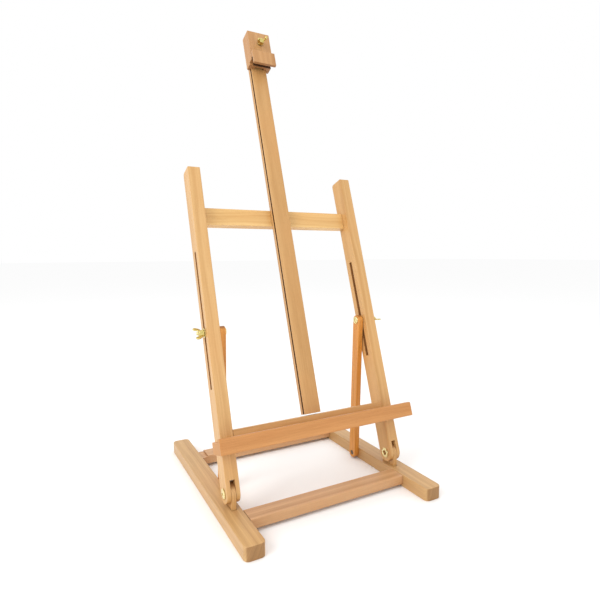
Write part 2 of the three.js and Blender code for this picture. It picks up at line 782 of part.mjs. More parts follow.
function makeStrut(name, side) {
  const half = STRUT_DEPTH / 2;
  const through = span(side * (STRUT_INNER - 1), side * (STRUT_OUTER + 1));
  const foot = rodX(PIVOT_SCREW_RADIUS + RUNNING_FIT, through, 0, 0, 16);
  const sink = rodX(
    PIVOT_HEAD_RADIUS + RUNNING_FIT,
    span(side * (STRUT_INNER - 1), side * (STRUT_INNER + PIVOT_HEAD_SINK)),
    0,
    0,
    16,
  );
  const head = rodX(CLAMP_RADIUS + RUNNING_FIT, through, 0, STRUT_REACH, 16);
  let body = alongX(linkOutline(half, 0, STRUT_REACH), span(side * STRUT_INNER, side * STRUT_OUTER), 12);
  for (const cut of [foot, sink, head]) body = body.subtract(cut);
  add(struts, `strut_${name}`, body, "strut");
}

// The clamp bolt's slotted dome and the part of its shank inside the strut.
function makeClampBolt(name, side) {
  const r = CLAMP_HEAD_RADIUS;
  const h = CLAMP_HEAD_HEIGHT;
  const dome = towardsX(
    turned([
      [0, 0],
      [r, 0],
      [r, h * 0.25],
      [r * 0.92, h * 0.55],
      [r * 0.72, h * 0.8],
      [r * 0.4, h * 0.96],
      [0, h],
    ]),
    -side,
    side * (STRUT_INNER - SEAT),
    0,
    STRUT_REACH,
  );
  const shank = rodX(
    CLAMP_RADIUS,
    span(side * (STRUT_INNER - SEAT - 0.5), side * STRUT_OUTER),
    0,
    STRUT_REACH,
    16,
  );
  const slot = block(
    span(side * (STRUT_INNER - SEAT - h - 1), side * (STRUT_INNER - SEAT - h + 1.4)),
    [-r, r],
    [STRUT_REACH - 0.8, STRUT_REACH + 0.8],
  );
  add(struts, `clamp_bolt_${name}`, dome.add(shank).subtract(slot), "brass");
}

for (const [name, side] of SIDES) {
  makeStrut(name, side);
  makeClampBolt(name, side);
}

// ---------------------------------------------------------------- clamps in the uprights' slots
// The spacer fills the gap from strut to upright; the stud carries on the bolt's line.
const SPACER_FROM = STRUT_OUTER + 0.2;
const SPACER_TO = UPRIGHT_INNER - 0.2;
const WASHER_FROM = UPRIGHT_OUTER + SEAT;
const WING_FROM = WASHER_FROM + WASHER_THICKNESS + SEAT;

function makeWasher(name, side, [from, to]) {
  const ring = rodX(WASHER_RADIUS, span(side * from, side * to), 0, CLAMP_Z, 24);
  const hole = rodX(
    CLAMP_RADIUS + RUNNING_FIT,
    span(side * (from - 1), side * (to + 1)),
    0,
    CLAMP_Z,
    16,
  );
  add(frame, name, ring.subtract(hole), "brass");
}

function makeStud(name, side) {
  const tip = towardsX(
    turned(
      [
        [0, 0],
        [CLAMP_RADIUS, 0],
        [CLAMP_RADIUS, UPRIGHT_OUTER + STUD_PROUD - 1 - SPACER_FROM],
        [CLAMP_RADIUS - 1, UPRIGHT_OUTER + STUD_PROUD - SPACER_FROM],
        [0, UPRIGHT_OUTER + STUD_PROUD - SPACER_FROM],
      ],
      16,
    ),
    side,
    side * SPACER_FROM,
    0,
    CLAMP_Z,
  );
  add(frame, `clamp_stud_${name}`, tip, "brass");
}

function makeWingNut(name, side, turn) {
  const nut = wingHead(turn, WING_SPAN, CLAMP_RADIUS + RUNNING_FIT).rotate([0, side * 90, 0]);
  add(frame, `wing_nut_${name}`, nut.translate([side * WING_FROM, 0, CLAMP_Z]), "brass");
}

for (const [name, side] of SIDES) {
  makeWasher(`clamp_spacer_${name}`, side, [SPACER_FROM, SPACER_TO]);
  makeWasher(`clamp_washer_${name}`, side, [WASHER_FROM, WASHER_FROM + WASHER_THICKNESS]);
  makeStud(name, side);
  makeWingNut(name, side, side < 0 ? LEFT_WING_TURN : RIGHT_WING_TURN);
}

// ---------------------------------------------------------------- canvas holder
const GROOVE_FRONT = FACE + GROOVE_INSET;
const GROOVE_REAR = GROOVE_FRONT + GROOVE_WIDTH;
const CHANNEL_FRONT = FACE - CHANNEL_PLAY;
const HOLDER_BACK = GROOVE_REAR - CHANNEL_PLAY;
const LIP_BACK = HOLDER_FRONT - SEAT;
const LIP_FRONT = LIP_BACK - LIP_DEPTH;
const LIP_BOTTOM = HOLDER_BOTTOM - LIP_HANG;
const LIP_TOP = LIP_BOTTOM + LIP_HEIGHT;
const SLOT_ROOF = HOLDER_BOTTOM + CANVAS_SLOT_RISE;
const CANVAS_SLOT_FRONT = LIP_BACK - CANVAS_SLOT_REBATE;
const CANVAS_SLOT_REAR = CANVAS_SLOT_FRONT + CANVAS_SLOT_WIDTH;
const LIP_DOWEL_Z = (SLOT_ROOF + LIP_TOP) / 2;
const LIP_DOWEL_SPAN = [LIP_BACK - LIP_DOWEL_LENGTH / 2, LIP_BACK + LIP_DOWEL_LENGTH / 2];

function lipDowel(side, radius, grow) {
  const [from, to] = LIP_DOWEL_SPAN;
  return rodY(radius, (side * LIP_DOWEL_SPACING) / 2, [from - grow, to + grow], LIP_DOWEL_Z, 12);
}

function makeHolderBlock() {
  const half = HOLDER_WIDTH / 2;
  const mastHalf = MAST_WIDTH / 2;
  const s = new THREE.Shape();
  s.moveTo(HOLDER_BACK, HOLDER_BOTTOM);
  s.lineTo(HOLDER_BACK, HOLDER_TOP - HOLDER_TOP_CHAMFER);
  s.lineTo(HOLDER_BACK - HOLDER_TOP_CHAMFER, HOLDER_TOP);
  s.lineTo(HOLDER_FRONT + HOLDER_TOP_CHAMFER, HOLDER_TOP);
  s.lineTo(HOLDER_FRONT, HOLDER_TOP - HOLDER_TOP_CHAMFER);
  s.lineTo(HOLDER_FRONT, SLOT_ROOF);
  s.lineTo(CANVAS_SLOT_REAR, SLOT_ROOF);
  s.lineTo(CANVAS_SLOT_REAR, HOLDER_BOTTOM);
  let body = alongX(s, [-half, half], 4);
  const tall = [LIP_BOTTOM, HOLDER_TOP + 1];
  const neck = mastHalf - GROOVE_DEPTH + CHANNEL_PLAY;
  const wide = mastHalf + CHANNEL_PLAY;
  const cuts = [
    block([-wide, wide], [CHANNEL_FRONT, GROOVE_FRONT + CHANNEL_PLAY], tall),
    block([-neck, neck], [GROOVE_FRONT, GROOVE_REAR + 1], tall),
    block(
      [-PLATE_WIDTH / 2 - SEAT, PLATE_WIDTH / 2 + SEAT],
      [CHANNEL_FRONT - PLATE_POCKET, CHANNEL_FRONT + 1],
      [LIP_BOTTOM, HOLDER_SCREW_Z + PLATE_HEIGHT / 2 + SEAT],
    ),
    rodY(
      CLAMP_RADIUS + RUNNING_FIT,
      0,
      [HOLDER_FRONT - 1, CHANNEL_FRONT],
      HOLDER_SCREW_Z,
      16,
    ),
    rodY(
      INSERT_RADIUS + DOWEL_FIT,
      0,
      [HOLDER_FRONT - 1, HOLDER_FRONT + INSERT_BACK + INSERT_LENGTH + DOWEL_FIT],
      HOLDER_SCREW_Z,
    ),
    lipDowel(-1, LIP_DOWEL_RADIUS + DOWEL_FIT, 1),
    lipDowel(1, LIP_DOWEL_RADIUS + DOWEL_FIT, 1),
  ];
  for (const cut of cuts) body = body.subtract(cut);
  add(frame, "holder_block", body, "holder");
}

function makeHolderLip() {
  const half = LIP_WIDTH / 2;
  let lip = block([-half, half], [LIP_FRONT, LIP_BACK], [LIP_BOTTOM, LIP_TOP]);
  const rebate = [CANVAS_SLOT_FRONT, LIP_BACK + 1];
  lip = lip.subtract(block([-half - 1, half + 1], rebate, [LIP_BOTTOM - 1, SLOT_ROOF]));
  for (const [name, side] of SIDES) {
    lip = lip.subtract(lipDowel(side, LIP_DOWEL_RADIUS + DOWEL_FIT, 1));
    add(frame, `lip_dowel_${name}`, lipDowel(side, LIP_DOWEL_RADIUS, 0), "dowel");
  }
  add(frame, "holder_lip", lip, "holder");
}

// The plate that the screw presses on the mast, and the threaded insert behind the face.
function makeHolderPlate() {
  const back = CHANNEL_FRONT - 0.1;
  const plate = block(
    [-PLATE_WIDTH / 2, PLATE_WIDTH / 2],
    [back - PLATE_THICKNESS, back],
    [HOLDER_SCREW_Z - PLATE_HEIGHT / 2, HOLDER_SCREW_Z + PLATE_HEIGHT / 2],
  );
  add(frame, "holder_plate", plate, "brass");
  const from = HOLDER_FRONT + INSERT_BACK;
  const insert = rodY(INSERT_RADIUS, 0, [from, from + INSERT_LENGTH], HOLDER_SCREW_Z);
  const thread = rodY(
    CLAMP_RADIUS + RUNNING_FIT,
    0,
    [from - 1, from + INSERT_LENGTH + 1],
    HOLDER_SCREW_Z,
    16,
  );
  add(frame, "holder_insert", insert.subtract(thread), "brass");
}

function makeHolderScrew() {
  const seat = HOLDER_FRONT - HOLDER_SCREW_GAP;
  const head = wingHead(HOLDER_SCREW_TURN, HOLDER_WING_SPAN, 0).rotate([90, 0, 0]);
  const shank = rodY(
    CLAMP_RADIUS,
    0,
    [seat - 1, CHANNEL_FRONT - 0.1 - PLATE_THICKNESS - SEAT],
    HOLDER_SCREW_Z,
    16,
  );
  add(frame, "holder_screw", head.translate([0, seat, HOLDER_SCREW_Z]).add(shank), "brass");
}

makeHolderBlock();
makeHolderLip();
makeHolderPlate();
makeHolderScrew();

export default easel;
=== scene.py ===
import json
import math

import bmesh
import bpy
from mathutils import Matrix, Vector


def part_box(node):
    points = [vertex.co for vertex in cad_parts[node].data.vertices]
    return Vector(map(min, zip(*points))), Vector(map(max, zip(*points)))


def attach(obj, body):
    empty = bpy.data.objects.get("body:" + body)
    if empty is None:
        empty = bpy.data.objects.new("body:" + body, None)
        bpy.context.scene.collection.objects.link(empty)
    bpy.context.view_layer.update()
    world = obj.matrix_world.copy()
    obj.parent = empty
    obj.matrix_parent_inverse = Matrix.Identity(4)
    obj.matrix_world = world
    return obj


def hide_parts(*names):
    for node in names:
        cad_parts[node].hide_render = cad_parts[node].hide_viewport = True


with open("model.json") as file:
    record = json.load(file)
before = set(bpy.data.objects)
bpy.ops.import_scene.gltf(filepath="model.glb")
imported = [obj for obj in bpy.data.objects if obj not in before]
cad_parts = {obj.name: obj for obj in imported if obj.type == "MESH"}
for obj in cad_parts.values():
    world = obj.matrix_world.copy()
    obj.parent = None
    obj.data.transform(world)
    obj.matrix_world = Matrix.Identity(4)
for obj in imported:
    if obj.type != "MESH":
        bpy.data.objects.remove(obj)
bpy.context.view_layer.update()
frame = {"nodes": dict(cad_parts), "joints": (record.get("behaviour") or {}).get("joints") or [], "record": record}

MM = 0.001
SIDES = (("left", -1), ("right", 1))


# ---------------------------------------------------------------- places from the frame
def joint(name):
    return next(j for j in frame["joints"] if j["name"] == name)


def size(node):
    low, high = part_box(node)
    return high - low


HINGE = Vector(joint("frame_fold")["pos_m"])
SLIDE = Vector(joint("holder_slide")["axis"])
LEAN = math.atan2(SLIDE.y, SLIDE.z)
FOOT = Vector(joint("strut_left_swing")["pos_m"])
CLAMP = Vector(joint("wing_nut_left_spin")["pos_m"])
HOLDER_SCREW = Vector(joint("holder_screw_spin")["pos_m"])
STRUT_LEAN = math.atan2(CLAMP.y - FOOT.y, CLAMP.z - FOOT.z)

# Local axes of the leaning frame: z up the uprights, y towards the back, origin on the hinge.
LEANING = Matrix.Translation((0, HINGE.y, HINGE.z)) @ Matrix.Rotation(-LEAN, 4, "X")
LEVEL = Matrix.Identity(4)
STRUTTING = Matrix.Translation((0, FOOT.y, FOOT.z)) @ Matrix.Rotation(-STRUT_LEAN, 4, "X")


def local_box(node, place):
    """Lowest and highest corner of a CAD node in the local axes of place."""
    back = place.inverted()
    points = [back @ v.co for v in frame["nodes"][node].data.vertices]
    low = Vector([min(p[i] for p in points) for i in range(3)])
    high = Vector([max(p[i] for p in points) for i in range(3)])
    return low, high


# ---------------------------------------------------------------- mesh tools
def mesh_from(bm, name):
    mesh = bpy.data.meshes.new(name)
    bm.to_mesh(mesh)
    bm.free()
    return mesh


def link(mesh, name):
    obj = bpy.data.objects.new(name, mesh)
    bpy.context.scene.collection.objects.link(obj)
    return obj


def arc(cy, cz, radius, start, end, steps):
    """Points of an arc in degrees, anticlockwise when end is above start."""
    turns = [math.radians(start + (end - start) * i / steps) for i in range(steps + 1)]
    return [(cy + radius * math.cos(a), cz + radius * math.sin(a)) for a in turns]


def rounded(corners, radii, steps=4):
    """A closed outline whose corners are rounded, each by its own radius."""
    out = []
    count = len(corners)
    for i, (corner, radius) in enumerate(zip(corners, radii)):
        here = Vector(corner)
        before = (Vector(corners[i - 1]) - here).normalized()
        after = (Vector(corners[(i + 1) % count]) - here).normalized()
        if radius <= 0:
            out.append(tuple(here))
            continue
        half = before.angle(after) / 2
        reach = radius / math.tan(half)
        centre = here + (before + after).normalized() * radius / math.sin(half)
        first = here + before * reach - centre
        last = here + after * reach - centre
        sweep = first.angle_signed(last)
        for k in range(steps + 1):
            turn = Matrix.Rotation(-sweep * k / steps, 2)
            out.append(tuple(centre + turn @ first))
    return out


# Which axes the outline's two numbers and the length run along.
AXES = {
    "X": lambda u, v, w: (w, u, v),
    "Y": lambda u, v, w: (u, w, v),
    "Z": lambda u, v, w: (u, v, w),
}


def prism(outline, low, high, along, rim=0.0, rim_steps=3):
    """An outline carried along an axis, with the rims of both ends rounded."""
    bm = bmesh.new()
    lift = AXES[along]
    ends = [[bm.verts.new(lift(u, v, w)) for u, v in outline] for w in (low, high)]
    count = len(outline)
    for i in range(count):
        j = (i + 1) % count
        bm.faces.new((ends[0][i], ends[0][j], ends[1][j], ends[1][i]))
    bm.faces.new(reversed(ends[0]))
    bm.faces.new(ends[1])
    bmesh.ops.recalc_face_normals(bm, faces=bm.faces)
    if rim > 0:
        loops = [e for e in bm.edges if any(len(f.verts) == count for f in e.link_faces)]
        if count == 4:
            loops = list(bm.edges)
        bmesh.ops.bevel(
            bm, geom=loops, offset=rim, segments=rim_steps, profile=0.5, affect="EDGES"
        )
    return mesh_from(bm, "prism")


def block(low, high, edge=0.0, steps=3):
    """A box with all its edges rounded."""
    bm = bmesh.new()
    bmesh.ops.create_cube(bm, size=1)
    span = Vector(high) - Vector(low)
    for v in bm.verts:
        v.co = Vector([low[i] + (v.co[i] + 0.5) * span[i] for i in range(3)])
    if edge > 0:
        bmesh.ops.bevel(
            bm, geom=bm.edges, offset=edge, segments=steps, profile=0.5, affect="EDGES"
        )
    return mesh_from(bm, "block")


def lathe(profile, sides=48):
    """Radius and height pairs turned about Z. The ends are closed where they meet the axis."""
    bm = bmesh.new()
    rings = []
    for radius, height in profile:
        if radius < 1e-7:
            rings.append([bm.verts.new((0, 0, height))])
            continue
        turns = [2 * math.pi * i / sides for i in range(sides)]
        rings.append(
            [bm.verts.new((radius * math.cos(a), radius * math.sin(a), height)) for a in turns]
        )
    pairs = list(zip(rings, rings[1:]))
    if len(rings[0]) > 1 and len(rings[-1]) > 1:
        pairs.append((rings[-1], rings[0]))
    for a, b in pairs:
        for i in range(sides):
            j = (i + 1) % sides
            if len(a) == 1:
                bm.faces.new((a[0], b[j], b[i]))
            elif len(b) == 1:
                bm.faces.new((a[i], a[j], b[0]))
            else:
                bm.faces.new((a[i], a[j], b[j], b[i]))
    bmesh.ops.recalc_face_normals(bm, faces=bm.faces)
    return mesh_from(bm, "lathe")


def threaded(radius, low, high, pitch, depth, sides=32, rows=6):
    """A rod along Z with a helical thread."""
    bm = bmesh.new()
    count = max(2, int((high - low) / pitch * rows))
    rings = []
    for k in range(count + 1):
        height = low + (high - low) * k / count
        fade = min(1.0, (count - k) / rows)
        ring = []
        for i in range(sides):
            turn = i / sides
            phase = (height / pitch - turn) % 1.0
            groove = abs(2 * phase - 1)
            r = radius - depth * (1 - groove) - depth * 0.6 * (1 - fade)
            angle = 2 * math.pi * turn
            ring.append(bm.verts.new((r * math.cos(angle), r * math.sin(angle), height)))
        rings.append(ring)
    for a, b in zip(rings, rings[1:]):
        for i in range(sides):
            j = (i + 1) % sides
            bm.faces.new((a[i], a[j], b[j], b[i]))
    bm.faces.new(reversed(rings[0]))
    bm.faces.new(rings[-1])
    bmesh.ops.recalc_face_normals(bm, faces=bm.faces)
    return mesh_from(bm, "threaded")


def evaluated(obj):
    """The mesh of an object with its modifiers applied, as a new mesh."""
    graph = bpy.context.evaluated_depsgraph_get()
    graph.update()
    return bpy.data.meshes.new_from_object(obj.evaluated_get(graph))


def combine(mesh, others, operation="DIFFERENCE"):
    """Boolean of a mesh with others, each taken away from it or added to it in turn."""
    obj = link(mesh, "work")
    tools = []
    for i, other in enumerate(others):
        tool = link(other, f"tool_{i}")
        step = obj.modifiers.new(f"step_{i}", "BOOLEAN")
        step.operation = operation
        step.solver = "EXACT"
        step.object = tool
        tools.append(tool)
    made = evaluated(obj)
    for used in [obj, *tools]:
        bpy.data.objects.remove(used)
    return made


def moved(mesh, matrix):
    mesh.transform(matrix)
    if matrix.determinant() < 0:
        mesh.flip_normals()
    return mesh


def joined(meshes):
    """Several separate shells in one mesh."""
    bm = bmesh.new()
    for mesh in meshes:
        bm.from_mesh(mesh)
    return mesh_from(bm, "joined")


def rod(radius, low, high, along, u=0.0, v=0.0, sides=40):
    """A plain round bar, used to cut bores."""
    outline = arc(u, v, radius, 0, 360 - 360 / sides, sides - 1)
    return prism(outline, low, high, along)


SMOOTH_LIMIT = math.radians(32)


def finish_piece(
    mesh, name, place, body, nodes, material, weighted=True, recess=None, shade=None
):
    """Puts a mesh made in the axes of place into the scene, on its CAD body.

    The faces whose middle is inside recess, a test on a point, get the material shade, a darker wood that paints
    the shade in that recess."""
    mesh.name = name
    obj = link(mesh, name)
    obj.matrix_world = place
    mesh.polygons.foreach_set("use_smooth", [True] * len(mesh.polygons))
    mesh.set_sharp_from_angle(angle=SMOOTH_LIMIT)
    if weighted:
        weigh = obj.modifiers.new("even_shading", "WEIGHTED_NORMAL")
        weigh.keep_sharp = True
        weigh.weight = 100
    mesh.materials.clear()
    mesh.materials.append(material)
    if recess:
        mesh.materials.append(shade)
        for face in mesh.polygons:
            face.material_index = int(recess(face.center))
    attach(obj, body)
    if nodes:
        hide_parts(*nodes)
    return obj


# ---------------------------------------------------------------- node helpers
class Nodes:
    """A small wrapper that adds shader nodes and joins them in one line."""

    def __init__(self, name):
        self.material = bpy.data.materials.new(name)
        self.material.use_nodes = True
        self.tree = self.material.node_tree
        self.tree.nodes.clear()

    def add(self, kind, inputs=None, **settings):
        node = self.tree.nodes.new(kind)
        for key, value in settings.items():
            setattr(node, key, value)
        for key, value in (inputs or {}).items():
            if isinstance(value, bpy.types.NodeSocket):
                self.tree.links.new(value, node.inputs[key])
            else:
                node.inputs[key].default_value = value
        return node

    def math(self, operation, a, b=0.0, c=0.0, clamp=False):
        node = self.add("ShaderNodeMath", {0: a, 1: b, 2: c}, operation=operation)
        node.use_clamp = clamp
        return node.outputs[0]

    def ramp(self, value, stops):
        node = self.add("ShaderNodeValToRGB", {"Fac": value})
        points = node.color_ramp.elements
        while len(points) < len(stops):
            points.new(0.5)
        for point, (at, colour) in zip(points, stops):
            point.position = at
            point.color = (*colour, 1) if len(colour) == 3 else colour
        return node.outputs["Color"]

    def span(self, value, low, high, to_low, to_high):
        node = self.add(
            "ShaderNodeMapRange", {0: value, 1: low, 2: high, 3: to_low, 4: to_high}
        )
        return node.outputs[0]

    def noise(self, vector, scale, detail=2.0, roughness=0.5, distortion=0.0):
        node = self.add(
            "ShaderNodeTexNoise",
            {
                "Vector": vector,
                "Scale": scale,
                "Detail": detail,
                "Roughness": roughness,
                "Distortion": distortion,
            },
        )
        return node.outputs["Fac"]

    def blend(self, a, b, factor, mode="MIX"):
        node = self.add("ShaderNodeMix", data_type="RGBA", blend_type=mode)
        node.clamp_factor = True
        for socket, value in ((node.inputs[0], factor), (node.inputs[6], a), (node.inputs[7], b)):
            if isinstance(value, bpy.types.NodeSocket):
                self.tree.links.new(value, socket)
            elif isinstance(value, tuple):
                socket.default_value = (*value, 1)
            else:
                socket.default_value = value
        return node.outputs[2]

    def scaled(self, vector, factors, offset=(0, 0, 0)):
        node = self.add(
            "ShaderNodeMapping",
            {"Vector": vector, "Location": offset, "Scale": factors},
        )
        return node.outputs[0]

    def output(self, shader):
        self.add("ShaderNodeOutputMaterial", {"Surface": shader})
        return self.material


def linear(hex_colour):
    """An sRGB hex colour as linear light."""
    parts = [int(hex_colour[i : i + 2], 16) / 255 for i in (0, 2, 4)]
    return tuple(p / 12.92 if p <= 0.04045 else ((p + 0.055) / 1.055) ** 2.4 for p in parts)


# ---------------------------------------------------------------- beech
# Axes swap so that the grain runs along the third number of the pattern's coordinates.
GRAIN_TURN = {
    "X": (0, math.radians(-90), 0),
    "Y": (math.radians(90), 0, 0),
    "Z": (0, 0, 0),
}
PATTERN_SCALE = 1000.0  # patterns are made in millimetres


def beech(name, grain, seed, light, dark, end, pith=(70.0, 45.0)):
    """Varnished beech: growth rings, fibres, fine ray flecks, pores and darker end grain."""
    n = Nodes(name)
    coords = n.add("ShaderNodeTexCoord")
    turn = n.add(
        "ShaderNodeMapping",
        {"Vector": coords.outputs["Object"], "Rotation": GRAIN_TURN[grain]},
    )
    mm = n.scaled(turn.outputs[0], (PATTERN_SCALE,) * 3, (seed * 37.0, seed * 53.0, seed * 211.0))
    split = n.add("ShaderNodeSeparateXYZ", {0: mm})
    across, deep, length = split.outputs

    # Slow bends of the rings along the board.
    slow = n.scaled(mm, (0.012, 0.012, 0.0035))
    bend = n.math("SUBTRACT", n.noise(slow, 1.0, 2.0, 0.5), 0.5)
    bend_mm = n.math("MULTIPLY", bend, 26.0)

    # Distance from the pith, in millimetres.
    u = n.math("ADD", n.math("SUBTRACT", across, seed * 37.0 + pith[0]), bend_mm)
    v = n.math("SUBTRACT", deep, seed * 53.0 + pith[1])
    far = n.math("SQRT", n.math("ADD", n.math("MULTIPLY", u, u), n.math("MULTIPLY", v, v)))
    ring = n.add(
        "ShaderNodeCombineXYZ", {0: far, 1: seed * 7.0, 2: n.math("MULTIPLY", length, 0.004)}
    )
    wide_rings = n.noise(ring.outputs[0], 0.16, 1.0, 0.5)
    thin_rings = n.noise(ring.outputs[0], 0.62, 2.0, 0.55)

    # Long fibres, then the short dark flecks that mark beech.
    fibre = n.noise(n.scaled(mm, (2.6, 2.6, 0.055)), 1.0, 4.0, 0.62)
    silk = n.noise(n.scaled(mm, (0.7, 0.7, 0.02)), 1.0, 2.0, 0.5)
    cells = n.add(
        "ShaderNodeTexVoronoi",
        {"Vector": n.scaled(mm, (1.35, 1.35, 0.34)), "Scale": 1.0, "Randomness": 1.0},
        feature="F1",
    )
    fleck = n.span(cells.outputs["Distance"], 0.12, 0.27, 1.0, 0.0)
    patchy = n.span(n.noise(n.scaled(mm, (0.11, 0.11, 0.03)), 1.0, 2.0), 0.42, 0.62, 0.25, 1.0)
    flecks = n.math("MULTIPLY", fleck, patchy, clamp=True)
    pores = n.span(n.noise(n.scaled(mm, (5.5, 5.5, 0.5)), 1.0, 2.0, 0.6), 0.60, 0.78, 0.0, 1.0)

    tone = n.math("MULTIPLY_ADD", wide_rings, 0.62, -0.06)
    tone = n.math("MULTIPLY_ADD", thin_rings, 0.34, tone)
    tone = n.math("MULTIPLY_ADD", fibre, 0.34, tone)
    tone = n.math("MULTIPLY_ADD", silk, 0.26, tone)
    tone = n.span(tone, 0.52, 0.92, 0.0, 1.0)
    middle_colour = tuple((a + b) / 2 for a, b in zip(light, dark))
    colour = n.ramp(tone, [(0.0, dark), (0.5, middle_colour), (1.0, light)])
    brown = tuple(c * f for c, f in zip(dark, (0.50, 0.42, 0.36)))
    colour = n.blend(colour, brown, n.math("MULTIPLY", flecks, 0.50))
    colour = n.blend(colour, brown, n.math("MULTIPLY", pores, 0.16))

    # Patches of warmer and cooler wood along the board.
    patch = n.noise(n.scaled(mm, (0.018, 0.018, 0.009)), 1.0, 2.0)
    warm = tuple(min(1, c * f) for c, f in zip(middle_colour, (1.06, 0.93, 0.82)))
    colour = n.blend(colour, warm, n.span(patch, 0.42, 0.72, 0.0, 0.38))

    # End grain drinks more varnish and turns darker.
    face = n.add("ShaderNodeSeparateXYZ", {0: coords.outputs["Normal"]})
    index = {"X": 0, "Y": 1, "Z": 2}[grain]
    facing = n.math("ABSOLUTE", face.outputs[index])
    ends = n.span(facing, 0.62, 0.86, 0.0, 1.0)
    rays = n.noise(n.scaled(mm, (1.6, 0.25, 0.0)), 1.0, 3.0, 0.6)
    end_tone = n.math("MULTIPLY_ADD", rays, 0.5, n.math("MULTIPLY", thin_rings, 0.6))
    end_colour = n.ramp(
        end_tone,
        [(0.30, tuple(c * 0.72 for c in end)), (0.55, end), (0.8, tuple(c * 1.15 for c in end))],
    )
    colour = n.blend(colour, end_colour, n.math("MULTIPLY", ends, 0.85))

    rough = n.math("MULTIPLY_ADD", fibre, 0.16, 0.33)
    rough = n.math("MULTIPLY_ADD", pores, 0.12, rough)
    rough = n.math("MULTIPLY_ADD", ends, 0.14, rough)
    height = n.math("MULTIPLY_ADD", fibre, 0.6, n.math("MULTIPLY", flecks, -0.25))
    height = n.math("MULTIPLY_ADD", pores, -0.55, height)
    bump = n.add("ShaderNodeBump", {"Height": height, "Strength": 0.32, "Distance": 0.00022})
    shader = n.add(
        "ShaderNodeBsdfPrincipled",
        {
            "Base Color": colour,
            "Roughness": rough,
            "Normal": bump.outputs[0],
            "Specular IOR Level": 0.42,
            "Coat Weight": 0.12,
            "Coat Roughness": 0.30,
        },
    )
    return n.output(shader.outputs[0])


PALE = (linear("D9AF75"), linear("BE8E52"), linear("A0723E"))
CREAM = (linear("E5BD7D"), linear("C99959"), linear("A97B43"))
HONEY = (linear("D4A76D"), linear("B5854B"), linear("976839"))
NUT = (linear("C69762"), linear("A97744"), linear("8D5E33"))
TAN = (linear("D4AD76"), linear("B48A58"), linear("946A3B"))
PINK = (linear("D3A779"), linear("B48456"), linear("93643D"))
ORANGE = (linear("CF9355"), linear("AF7238"), linear("BC8449"))
DEEP = (linear("EAA247"), linear("BE7B30"), linear("9C6025"))
BARE = (linear("D8BE92"), linear("BFA074"), linear("A5835A"))
# Painted shade for the inside of the uprights' slots.
PAINTED_SLOT_SHADE = (linear("A87443"), linear("8A5C30"), linear("6E4824"))
# Painted shade for the inside of the mast's grooves and the holder's slot, channel and pocket.
PAINTED_DEEP_SHADE = (linear("5E3E22"), linear("4A2F19"), linear("382312"))

# The insides of slots and grooves get darker wood colours that paint the shade inside them: painted shade, lighter
# in the uprights' slots and deeper in the mast's grooves and the holder.
SLOT_SHADE_PAINTED_WOOD = beech("beech_painted_slot_shade", "Z", 19.5, *PAINTED_SLOT_SHADE)
DEEP_SHADE_PAINTED_WOOD = beech("beech_painted_deep_shade", "Z", 20.5, *PAINTED_DEEP_SHADE)


def within(low, high, margin=0.05 * MM):
    """A test that says whether a point lies inside a box, with a small margin taken off."""
    return lambda p: all(low[i] + margin < p[i] < high[i] - margin for i in range(3))


def any_of(*tests):
    return lambda p: any(test(p) for test in tests)


# ---------------------------------------------------------------- metals
def metal(name, seed, tint, shade, rough, scratches=0.5):
    """Turned or cast metal: fine scratches, faint tarnish and slight waviness."""
    n = Nodes(name)
    coords = n.add("ShaderNodeTexCoord")
    shift = (seed * 31.0, seed * 17.0, seed * 5.0)
    mm = n.scaled(coords.outputs["Object"], (PATTERN_SCALE,) * 3, shift)
    cloud = n.noise(mm, 0.35, 3.0, 0.6)
    fine = n.noise(n.scaled(mm, (0.6, 6.0, 6.0)), 1.4, 3.0, 0.65)
    grit = n.noise(mm, 7.0, 2.0, 0.6)
    spots = n.span(n.noise(mm, 1.3, 4.0, 0.7), 0.60, 0.76, 0.0, 1.0)
    colour = n.blend(tint, shade, n.span(cloud, 0.35, 0.75, 0.0, 0.55))
    colour = n.blend(colour, tuple(c * 0.45 for c in shade), n.math("MULTIPLY", spots, 0.30))
    level = n.math("MULTIPLY_ADD", fine, 0.16 * scratches, rough)
    level = n.math("MULTIPLY_ADD", cloud, 0.10, level)
    level = n.math("MULTIPLY_ADD", spots, 0.18, level)
    height = n.math("MULTIPLY_ADD", fine, scratches, n.math("MULTIPLY", grit, 0.5))
    bump = n.add("ShaderNodeBump", {"Height": height, "Strength": 0.22, "Distance": 0.0001})
    shader = n.add(
        "ShaderNodeBsdfPrincipled",
        {
            "Base Color": colour,
            "Metallic": 1.0,
            "Roughness": level,
            "Normal": bump.outputs[0],
        },
    )
    return n.output(shader.outputs[0])


BRASS = metal("brass_turned", 1.0, linear("F4E6AE"), linear("C2AE66"), 0.10)
CAST_BRASS = metal("brass_cast", 2.0, linear("E2D085"), linear("95823C"), 0.16, 0.8)
# Zinc steel: its own grey, darkened further to paint the shade in the recesses the screws sit in.
STEEL_WITH_PAINTED_SHADE = metal("zinc_steel", 3.0, linear("7A726A"), linear("4A423B"), 0.30)

# ---------------------------------------------------------------- base
EASE = 1.0 * MM  # rounding of the stock's edges
SEAM = 0.3 * MM


def make_runner(name, side, seed):
    node = f"runner_{name}"
    low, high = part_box(node)
    corner = 8.0 * MM
    outline = rounded(
        [(low.x, low.y), (high.x, low.y), (high.x, high.y), (low.x, high.y)], [corner] * 4, 10
    )
    body = prism(outline, low.z, high.z, "Z", 1.3 * MM)
    t_low, t_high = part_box(f"hinge_tongue_{name}")
    mortise = block(
        (t_low.x - 2 * SEAM, t_low.y - 4 * SEAM, t_low.z - SEAM),
        (t_high.x + 2 * SEAM, t_high.y + SEAM, high.z + 5 * MM),
    )
    body = combine(body, [mortise])
    finish_piece(
        body,
        f"runner_{name}_wood",
        LEVEL,
        "base",
        [node],
        beech(f"beech_runner_{name}", "Y", seed, *TAN, pith=(48.0, -60.0 * side)),
    )


